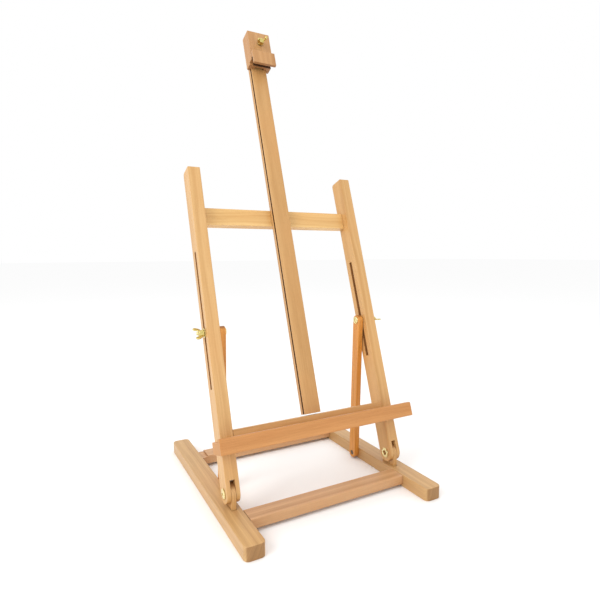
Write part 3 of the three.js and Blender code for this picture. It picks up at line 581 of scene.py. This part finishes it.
def make_tongue(name, seed):
    node = f"hinge_tongue_{name}"
    low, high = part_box(node)
    radius = (high.y - low.y) / 2
    outline = [(low.y, low.z), (high.y, low.z)]
    outline += arc(HINGE.y, HINGE.z, radius, 0, 180, 28)
    body = prism(outline, low.x, high.x, "X", 0.5 * MM, 2)
    bore = rod(3.8 * MM, low.x - MM, high.x + MM, "X", HINGE.y, HINGE.z)
    body = combine(body, [bore])
    finish_piece(
        body,
        f"tongue_{name}_wood",
        LEVEL,
        "base",
        [node],
        beech(f"beech_tongue_{name}", "Z", seed, *HONEY),
    )


def make_bar(node, seed, notched):
    low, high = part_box(node)
    section = rounded(
        [(low.y, low.z), (high.y, low.z), (high.y, high.z), (low.y, high.z)], [EASE] * 4
    )
    body = prism(section, low.x + 0.5 * MM, high.x - 0.5 * MM, "X", 0.25 * MM, 1)
    if notched:
        cuts = []
        for name, side in SIDES:
            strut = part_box(f"strut_{name}")
            inner = min(abs(strut[0].x), abs(strut[1].x)) - 0.8 * MM
            x0, x1 = sorted((side * inner, side * (high.x + 2 * MM)))
            cuts.append(
                block((x0, low.y - MM, high.z - 2.5 * MM), (x1, high.y + MM, high.z + 5 * MM))
            )
        body = combine(body, cuts)
    finish_piece(
        body,
        f"{node}_wood",
        LEVEL,
        "base",
        [node],
        beech(f"beech_{node}", "X", seed, *PINK, pith=(-35.0, 30.0)),
    )


make_runner("left", -1, 1.0)
make_runner("right", 1, 2.3)
make_tongue("left", 3.1)
make_tongue("right", 4.7)
make_bar("front_bar", 5.2, False)
make_bar("rear_bar", 6.4, True)


# ---------------------------------------------------------------- leaning frame
FORK_PLAY = 0.4 * MM
FORK_TOP = 19 * MM  # above the hinge axis
BLADE_RADIUS = 60 * MM
BLADE_REACH = 8 * MM
SLOT_LOW, SLOT_HIGH, SLOT_HALF = 152.7 * MM, 375.3 * MM, 3.5 * MM


def make_upright(name, side, seed):
    node = f"upright_{name}"
    low, high = local_box(node, LEANING)
    radius = high.y
    top_round = 5.0 * MM
    outline = [(high.y, 0.0)]
    outline += arc(high.y - top_round, high.z - top_round, top_round, 0, 90, 12)
    outline += arc(low.y + 1.2 * MM, high.z - 1.2 * MM, 1.2 * MM, 90, 180, 4)
    outline += arc(0, 0, radius, 180, 356, 40)
    body = prism(outline, low.x, high.x, "X", EASE)
    centre = (low.x + high.x) / 2
    tongue = size(f"hinge_tongue_{name}").x / 2 + FORK_PLAY
    fork = block(
        (centre - tongue, low.y - 5 * MM, -30 * MM), (centre + tongue, high.y + 5 * MM, FORK_TOP)
    )
    # The slot is cut from outside with a round blade, so its two ends curve.
    outer = side * max(abs(low.x), abs(high.x))
    blade = side * (min(abs(low.x), abs(high.x)) - BLADE_REACH + BLADE_RADIUS)
    run_out = math.sqrt(BLADE_RADIUS**2 - (blade - outer) ** 2)
    slot_outline = arc(blade, SLOT_HIGH - run_out, BLADE_RADIUS, 0, 180, 90)
    slot_outline += arc(blade, SLOT_LOW + run_out, BLADE_RADIUS, 180, 360, 90)
    slot = prism(slot_outline, -SLOT_HALF, SLOT_HALF, "Y")
    bore = rod(3.65 * MM, low.x - MM, high.x + MM, "X")
    body = combine(body, [fork, slot, bore])
    finish_piece(
        body,
        f"upright_{name}_wood",
        LEANING,
        "frame",
        [node],
        beech(f"beech_upright_{name}", "Z", seed, *PALE, pith=(-52.0 * side, 66.0)),
        # Painted shade: the faces inside the slot get the darker slot-shade wood.
        recess=within(
            (low.x, -SLOT_HALF - MM, SLOT_LOW - MM), (high.x, SLOT_HALF + MM, SLOT_HIGH + MM)
        ),
        shade=SLOT_SHADE_PAINTED_WOOD,
    )


def make_rail(node, palette, seed, pith):
    low, high = local_box(node, LEANING)
    inner = local_box("upright_right", LEANING)[0].x - SEAM
    section = rounded(
        [(low.y, low.z), (high.y, low.z), (high.y, high.z), (low.y, high.z)], [0.8 * MM] * 4
    )
    body = prism(section, -inner, inner, "X", 0.2 * MM, 1)
    finish_piece(
        body,
        f"{node}_wood",
        LEANING,
        "frame",
        [node],
        beech(f"beech_{node}", "X", seed, *palette, pith=pith),
    )


def make_tray():
    low, high = local_box("tray", LEANING)
    shelf = low.z + 18 * MM
    lip = low.y + 10.5 * MM
    outline = rounded(
        [
            (high.y, low.z),
            (high.y, shelf),
            (lip, shelf),
            (lip, high.z),
            (low.y, high.z),
            (low.y, low.z),
        ],
        [0.8 * MM, 0.8 * MM, 0.6 * MM, 2.4 * MM, 2.6 * MM, 1.6 * MM],
        6,
    )
    body = prism(outline, low.x, high.x, "X", 0.8 * MM)
    finish_piece(
        body,
        "tray_wood",
        LEANING,
        "frame",
        ["tray"],
        beech("beech_tray", "X", 8.6, *ORANGE, pith=(-44.0, 52.0)),
    )


GROOVE_FRONT, GROOVE_BACK, GROOVE_DEPTH = 2.5 * MM, 6.5 * MM, 4 * MM  # from the mast's face


def make_mast():
    low, high = local_box("mast", LEANING)
    groove_back, groove_front = low.y + GROOVE_BACK, low.y + GROOVE_FRONT
    deep = high.x - GROOVE_DEPTH
    right = [
        (high.x, low.y),
        (high.x, groove_front),
        (deep, groove_front),
        (deep, groove_back),
        (high.x, groove_back),
        (high.x, high.y),
    ]
    left = [(-x, y) for x, y in reversed(right)]
    radii = [0.8 * MM, 0.3 * MM, 0.2 * MM, 0.2 * MM, 0.3 * MM, 0.8 * MM]
    outline = rounded(right + left, radii + radii[::-1], 3)
    body = prism(outline, low.z, high.z, "Z", 0.4 * MM, 2)
    finish_piece(
        body,
        "mast_wood",
        LEANING,
        "frame",
        ["mast"],
        beech("beech_mast", "Z", 9.9, *HONEY, pith=(8.0, 58.0)),
        # Painted shade: the faces inside the two grooves get the near-black wood.
        recess=any_of(
            within((low.x, groove_front - MM, low.z), (-deep + MM, groove_back + MM, high.z)),
            within((deep - MM, groove_front - MM, low.z), (high.x, groove_back + MM, high.z)),
        ),
        shade=DEEP_SHADE_PAINTED_WOOD,
    )


make_upright("left", -1, 7.1)
make_upright("right", 1, 7.9)
make_rail("crossbar", CREAM, 10.4, (30.0, 85.0))
make_rail("lower_rail", HONEY, 11.2, (40.0, 40.0))
make_tray()
make_mast()


# ---------------------------------------------------------------- struts
def make_strut(name, side, seed):
    node = f"strut_{name}"
    low, high = local_box(node, STRUTTING)
    half = high.y
    outline = arc(0, high.z - half, half, 0, 180, 24)
    outline += arc(0, low.z + half, half, 180, 360, 24)
    body = prism(outline, low.x, high.x, "X", 0.9 * MM)
    bores = [
        rod(3.3 * MM, low.x - MM, high.x + MM, "X", 0, high.z - half),
        rod(2.9 * MM, low.x - MM, high.x + MM, "X", 0, 0),
    ]
    inner = low.x if side > 0 else high.x
    x0, x1 = sorted((inner - side * MM, inner + side * 3 * MM))
    bores.append(rod(4.3 * MM, x0, x1, "X", 0, 0))
    body = combine(body, bores)
    finish_piece(
        body,
        f"strut_{name}_wood",
        STRUTTING,
        f"strut_{name}",
        [node],
        beech(f"beech_strut_{name}", "Z", seed, *DEEP, pith=(30.0, -40.0)),
    )


make_strut("left", -1, 12.6)
make_strut("right", 1, 13.8)


# ---------------------------------------------------------------- canvas holder
CANVAS_SLOT_FRONT, CANVAS_SLOT_BACK = 3.7 * MM, 11.8 * MM  # from the back of the lip
CANVAS_SLOT_RISE = 4.5 * MM
POCKET_HALF = 8.3 * MM  # pocket of the clamping plate
INSERT_BORE, SCREW_BORE = 4.75 * MM, 3.3 * MM


def make_holder_block():
    low, high = local_box("holder_block", LEANING)
    lip_high = local_box("holder_lip", LEANING)[1]
    mast_low, mast_high = local_box("mast", LEANING)
    chamfer = 1.5 * MM
    roof = low.z + CANVAS_SLOT_RISE
    groove = lip_high.y + CANVAS_SLOT_BACK
    outline = rounded(
        [
            (high.y, low.z),
            (high.y, high.z - chamfer),
            (high.y - chamfer, high.z),
            (low.y + chamfer, high.z),
            (low.y, high.z - chamfer),
            (low.y, roof),
            (groove, roof),
            (groove, low.z),
        ],
        [0.5 * MM, 0.5 * MM, 0.5 * MM, 0.6 * MM, 0.6 * MM, 0.4 * MM, 0.3 * MM, 0.6 * MM],
        4,
    )
    body = prism(outline, low.x, high.x, "X", 0.8 * MM)
    play = 0.4 * MM
    front = mast_low.y + GROOVE_FRONT
    wide = mast_high.x + play
    neck = mast_high.x - GROOVE_DEPTH + play
    cuts = [
        block((-wide, mast_low.y - play, low.z - MM), (wide, front + play, high.z + MM)),
        block((-neck, front, low.z - 2 * MM), (neck, high.y + MM, high.z + 2 * MM)),
        block(
            (-POCKET_HALF, mast_low.y - 5 * MM, low.z - 3 * MM),
            (POCKET_HALF, mast_low.y, local_box("holder_plate", LEANING)[1].z + 2 * MM),
        ),
    ]
    screw = LEANING.inverted() @ HOLDER_SCREW
    cuts.append(rod(INSERT_BORE, low.y - MM, low.y + 14 * MM, "Y", 0, screw.z))
    cuts.append(rod(SCREW_BORE, low.y - MM, mast_low.y, "Y", 0, screw.z))
    body = combine(body, cuts)
    # The slot's mouth at the left end catches the light, so it is cut off from the part painted with shade.
    bm = bmesh.new()
    bm.from_mesh(body)
    mouth = low.x + 7 * MM
    bmesh.ops.bisect_plane(
        bm, geom=[*bm.verts, *bm.edges, *bm.faces], plane_co=(mouth, 0, 0), plane_no=(1, 0, 0)
    )
    body = mesh_from(bm, "holder_body")
    finish_piece(
        body,
        "holder_block_wood",
        LEANING,
        "holder",
        ["holder_block"],
        beech("beech_holder", "Z", 14.5, *NUT, pith=(20.0, -50.0)),
        # Painted shade: the canvas slot past its mouth, the mast channel and the plate pocket get the near-black
        # wood.
        recess=any_of(
            within((mouth, lip_high.y - MM, low.z - MM), (high.x, groove + MM, roof + MM)),
            within((-wide - MM, mast_low.y - 6 * MM, low.z), (wide + MM, high.y, high.z)),
        ),
        shade=DEEP_SHADE_PAINTED_WOOD,
    )


def make_holder_lip():
    low, high = local_box("holder_lip", LEANING)
    roof = local_box("holder_block", LEANING)[0].z + CANVAS_SLOT_RISE
    rebate = high.y - CANVAS_SLOT_FRONT
    section = rounded(
        [
            (low.y, low.z),
            (rebate, low.z),
            (rebate, roof),
            (high.y, roof),
            (high.y, high.z),
            (low.y, high.z),
        ],
        [1.2 * MM, 0.5 * MM, 0.4 * MM, 0.3 * MM, 0.3 * MM, 1.0 * MM],
        5,
    )
    body = prism(section, low.x, high.x, "X", 0.7 * MM)
    finish_piece(
        body,
        "holder_lip_wood",
        LEANING,
        "holder",
        ["holder_lip"],
        beech("beech_holder_lip", "Z", 14.5, *NUT, pith=(20.0, -50.0)),
    )


make_holder_block()
make_holder_lip()


# ---------------------------------------------------------------- fittings
STUD_RADIUS = 3 * MM
THREAD_PITCH, THREAD_DEPTH = 1.0 * MM, 0.34 * MM
HUB_HEIGHT = 7.9 * MM
WASHER_BORE, WASHER_RADIUS = 3.3 * MM, 7.5 * MM


def towards(side):
    """Turns a piece built up along Z so that it points along X or -X."""
    return Matrix.Rotation(math.radians(90 * side), 4, "Y")


def wing_outline(half, reach, steps=7):
    """One wing seen from the front: a curved arm that ends in a round ear."""
    lower = [(0.0, 1.4 * MM), (half * 0.36, 1.4 * MM), (half * 0.60, 3.0 * MM)]
    lower += [(half * 0.82, reach * 0.38), (half * 0.96, reach * 0.60)]
    ear = arc(half - 2.9 * MM, reach - 3.0 * MM, 2.9 * MM, 0, 150, steps)
    upper = [(half * 0.50, reach * 0.56), (half * 0.34, reach * 0.49), (0.0, reach * 0.47)]
    return lower + ear + upper


def wing_head(half, reach, bore):
    """A cast wing head: hub and wings flow into each other. Its seat is at the origin."""
    hub = lathe(
        [
            (0, 0),
            (5.4 * MM, 0),
            (5.9 * MM, 0.4 * MM),
            (5.9 * MM, 1.5 * MM),
            (5.5 * MM, 2.4 * MM),
            (4.7 * MM, 7.5 * MM),
            (4.3 * MM, HUB_HEIGHT),
            (0, HUB_HEIGHT),
        ]
    )
    parts = []
    for turn in (0, math.pi):
        wing = prism(wing_outline(half, reach), -1.1 * MM, 1.1 * MM, "Y", 0.8 * MM, 3)
        parts.append(moved(wing, Matrix.Rotation(turn, 4, "Z")))
    head = combine(hub, parts, "UNION")
    obj = link(head, "cast")
    melt = obj.modifiers.new("melt", "REMESH")
    melt.mode = "VOXEL"
    melt.voxel_size = 0.32 * MM
    soften = obj.modifiers.new("soften", "SMOOTH")
    soften.factor = 0.5
    soften.iterations = 5
    head = evaluated(obj)
    bpy.data.objects.remove(obj)
    if bore > 0:
        hole = lathe(
            [
                (0, -MM),
                (bore + 0.6 * MM, -MM),
                (bore + 0.6 * MM, 0),
                (bore, 0.6 * MM),
                (bore, 7.3 * MM),
                (bore + 0.6 * MM, HUB_HEIGHT),
                (bore + 0.6 * MM, 9 * MM),
                (0, 9 * MM),
            ]
        )
        head = combine(head, [hole])
    return head


def make_clamp(name, side, turn):
    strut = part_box(f"strut_{name}")
    inner = side * min(abs(strut[0].x), abs(strut[1].x))
    point = Vector((0, CLAMP.y, CLAMP.z))

    # The slotted dome and its shank ride on the strut.
    radius, height = 6.6 * MM, 2.6 * MM
    rise = [math.radians(90 * k / 12) for k in range(13)]
    curve = [(radius * math.cos(a), height * (0.25 + 0.75 * math.sin(a))) for a in rise]
    dome = lathe([(0, 0), (radius - 0.3 * MM, 0), (radius, 0.3 * MM)] + curve[:-1] + [(0, height)])
    dome = combine(
        dome, [block((-8 * MM, -0.8 * MM, height - 1.5 * MM), (8 * MM, 0.8 * MM, height + MM))]
    )
    slot_turn = Matrix.Rotation(math.radians(28), 4, "Z")
    dome = moved(dome, towards(-side) @ slot_turn)
    dome = moved(dome, Matrix.Translation((inner - side * 0.3 * MM, point.y, point.z)))
    x0, x1 = sorted((inner - side * 0.3 * MM, side * max(abs(strut[0].x), abs(strut[1].x))))
    shank = rod(STUD_RADIUS, x0, x1, "X", point.y, point.z)
    finish_piece(
        joined([dome, shank]),
        f"clamp_bolt_{name}_brass",
        LEVEL,
        f"strut_{name}",
        [f"clamp_bolt_{name}"],
        BRASS,
    )

    # The stud, its spacer and washer ride in the upright's slot.
    stud_low, stud_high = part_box(f"clamp_stud_{name}")
    length = stud_high.x - stud_low.x
    stud = threaded(STUD_RADIUS, 0, length, THREAD_PITCH, THREAD_DEPTH)
    start = stud_low.x if side > 0 else stud_high.x
    stud = moved(stud, Matrix.Translation((start, point.y, point.z)) @ towards(side))
    finish_piece(
        stud,
        f"clamp_stud_{name}_brass",
        LEVEL,
        f"clamp_{name}",
        [f"clamp_stud_{name}"],
        BRASS,
        weighted=False,
    )
    for kind in ("spacer", "washer"):
        node = f"clamp_{kind}_{name}"
        low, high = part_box(node)
        thick = high.x - low.x
        edge = min(0.3 * MM, thick / 3)
        ring = lathe(
            [
                (WASHER_BORE, 0),
                (WASHER_RADIUS - edge, 0),
                (WASHER_RADIUS, edge),
                (WASHER_RADIUS, thick - edge),
                (WASHER_RADIUS - edge, thick),
                (WASHER_BORE, thick),
            ]
        )
        ring = moved(ring, Matrix.Translation((low.x, point.y, point.z)) @ towards(1))
        finish_piece(ring, f"{node}_brass", LEVEL, f"clamp_{name}", [node], BRASS)

    # The wing nut, turned as it was left.
    low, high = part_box(f"wing_nut_{name}")
    seat = low.x if side > 0 else high.x
    head = wing_head(13.9 * MM, 14.8 * MM, 3.2 * MM)
    head = moved(head, Matrix.Rotation(turn, 4, "Z"))
    head = moved(head, towards(side))
    upright_turn = Matrix.Rotation(-LEAN, 4, "X")
    head = moved(head, Matrix.Translation((seat, point.y, point.z)) @ upright_turn)
    finish_piece(
        head,
        f"wing_nut_{name}_brass",
        LEVEL,
        f"wing_nut_{name}",
        [f"wing_nut_{name}"],
        CAST_BRASS,
        weighted=False,
    )


def make_hinge(name, side):
    # Outer head with a hexagon socket.
    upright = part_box(f"upright_{name}")
    outer = side * max(abs(upright[0].x), abs(upright[1].x))
    inner = side * min(abs(upright[0].x), abs(upright[1].x))
    head = lathe(
        [
            (0, 0),
            (7.7 * MM, 0),
            (8.0 * MM, 0.3 * MM),
            (8.0 * MM, 0.8 * MM),
            (7.2 * MM, 1.35 * MM),
            (5.6 * MM, 1.8 * MM),
            (0, 1.8 * MM),
        ]
    )
    socket = [
        (2.3 * MM * math.cos(math.radians(60 * k)), 2.3 * MM * math.sin(math.radians(60 * k)))
        for k in range(6)
    ]
    head = combine(head, [prism(socket, 0.4 * MM, 3 * MM, "Z")])
    place = Matrix.Translation((outer + side * 0.3 * MM, HINGE.y, HINGE.z)) @ towards(side)
    head = moved(head, place)
    x0, x1 = sorted((inner + side * 6.4 * MM, outer + side * 0.3 * MM))
    shank = rod(3.5 * MM, x0, x1, "X", HINGE.y, HINGE.z)
    finish_piece(
        joined([head, shank]),
        f"hinge_bolt_{name}_brass",
        LEVEL,
        "frame",
        [f"hinge_bolt_{name}"],
        BRASS,
    )

    # Inner sleeve nut with a round flange and an open bore.
    ring = lathe(
        [
            (3.9 * MM, -5.4 * MM),
            (5.2 * MM, -5.4 * MM),
            (5.2 * MM, 0.3 * MM),
            (8.2 * MM, 0.3 * MM),
            (8.5 * MM, 0.6 * MM),
            (8.5 * MM, 0.95 * MM),
            (7.6 * MM, 1.6 * MM),
            (6.6 * MM, 2.1 * MM),
            (4.6 * MM, 2.1 * MM),
            (3.9 * MM, 1.5 * MM),
        ]
    )
    place = Matrix.Translation((inner, HINGE.y, HINGE.z)) @ towards(-side)
    finish_piece(
        moved(ring, place),
        f"hinge_nut_{name}_brass",
        LEVEL,
        "frame",
        [f"hinge_nut_{name}"],
        BRASS,
    )


def make_holder_screw():
    seat = LEANING.inverted() @ HOLDER_SCREW
    low, high = local_box("holder_screw", LEANING)
    head = wing_head(11.4 * MM, 14.8 * MM, 0)
    head = moved(head, Matrix.Rotation(math.radians(25), 4, "Z"))
    head = moved(head, Matrix.Rotation(math.radians(90), 4, "X"))
    seat_y = low.y + 15.0 * MM
    head = moved(head, Matrix.Translation((0, seat_y, seat.z)))
    shank = threaded(STUD_RADIUS, 0, high.y - seat_y, THREAD_PITCH, THREAD_DEPTH)
    shank = moved(shank, Matrix.Rotation(math.radians(-90), 4, "X"))
    shank = moved(shank, Matrix.Translation((0, seat_y, seat.z)))
    finish_piece(
        joined([head, shank]),
        "holder_screw_brass",
        LEANING,
        "holder_screw",
        ["holder_screw"],
        CAST_BRASS,
        weighted=False,
    )


make_clamp("left", -1, math.radians(42))
make_clamp("right", 1, LEAN - math.pi / 2)
for side_name, side_sign in SIDES:
    make_hinge(side_name, side_sign)
make_holder_screw()

# The CAD pieces that stay: dowels, screws and the holder's hidden fittings.
LEFT_AS_BUILT = {
    "beech_dowel": beech("beech_dowel", "X", 16.3, *BARE),
    "brass": BRASS,
    "zinc_steel": STEEL_WITH_PAINTED_SHADE,
}
for row in frame["record"]["subparts"]:
    cad = frame["nodes"][row["node"]]
    if not cad.hide_render:
        cad.data.materials.clear()
        cad.data.materials.append(LEFT_AS_BUILT[row["material_slot"]])


# ---------------------------------------------------------------- stage
def make_floor():
    """A wide, level, pale sheet."""
    n = Nodes("pale_floor")
    shader = n.add(
        "ShaderNodeBsdfPrincipled", {"Base Color": (0.97, 0.97, 0.97, 1), "Roughness": 1.0}
    )
    shader.inputs["Specular IOR Level"].default_value = 0.0
    material = n.output(shader.outputs[0])
    floor = link(block((-30, -30, -0.1), (30, 30, 0)), "floor")
    floor.data.materials.append(material)


def add_light(name, place, aim, power, width, height, colour=(1, 1, 1)):
    lamp = bpy.data.lights.new(name, "AREA")
    lamp.shape = "RECTANGLE"
    lamp.size, lamp.size_y = width, height
    lamp.energy = power
    lamp.color = colour
    obj = bpy.data.objects.new(name, lamp)
    obj.location = place
    obj.rotation_mode = "QUATERNION"
    obj.rotation_quaternion = (Vector(aim) - Vector(place)).to_track_quat("-Z", "Y")
    bpy.context.scene.collection.objects.link(obj)


def add_world(strength):
    world = bpy.data.worlds.new("studio")
    world.use_nodes = True
    backdrop = world.node_tree.nodes["Background"]
    backdrop.inputs["Color"].default_value = (1, 1, 1, 1)
    backdrop.inputs["Strength"].default_value = strength
    bpy.context.scene.world = world


def add_camera(place, yaw, pitch, roll, lens):
    level = Vector((math.sin(yaw), math.cos(yaw), 0))
    ahead = level * math.cos(pitch) - Vector((0, 0, math.sin(pitch)))
    right = Vector((math.cos(yaw), -math.sin(yaw), 0))
    up = right.cross(ahead)
    tilted_right = right * math.cos(roll) + up * math.sin(roll)
    tilted_up = up * math.cos(roll) - right * math.sin(roll)
    data = bpy.data.cameras.new("camera")
    data.sensor_width = 36
    data.lens = lens
    camera = bpy.data.objects.new("camera", data)
    turn = Matrix((tilted_right, tilted_up, -ahead)).transposed()
    camera.matrix_world = Matrix.Translation(place) @ turn.to_4x4()
    bpy.context.scene.collection.objects.link(camera)
    bpy.context.scene.camera = camera


make_floor()
add_world(1.0)
add_light("key_left", (-1.9, -0.7, 1.5), (0, 0, 0.35), 20, 1.0, 1.2)
add_light("fill_front", (0.5, -2.4, 1.4), (0, 0, 0.35), 4, 1.4, 1.0)
add_light("top", (0.1, 0.3, 2.6), (0, 0, 0.2), 6, 1.4, 1.4)
add_camera(Vector((-0.3709, -0.7193, 0.3922)), 0.494, 0.097, -0.004, 27.896)
bpy.context.scene.view_settings.view_transform = "Standard"
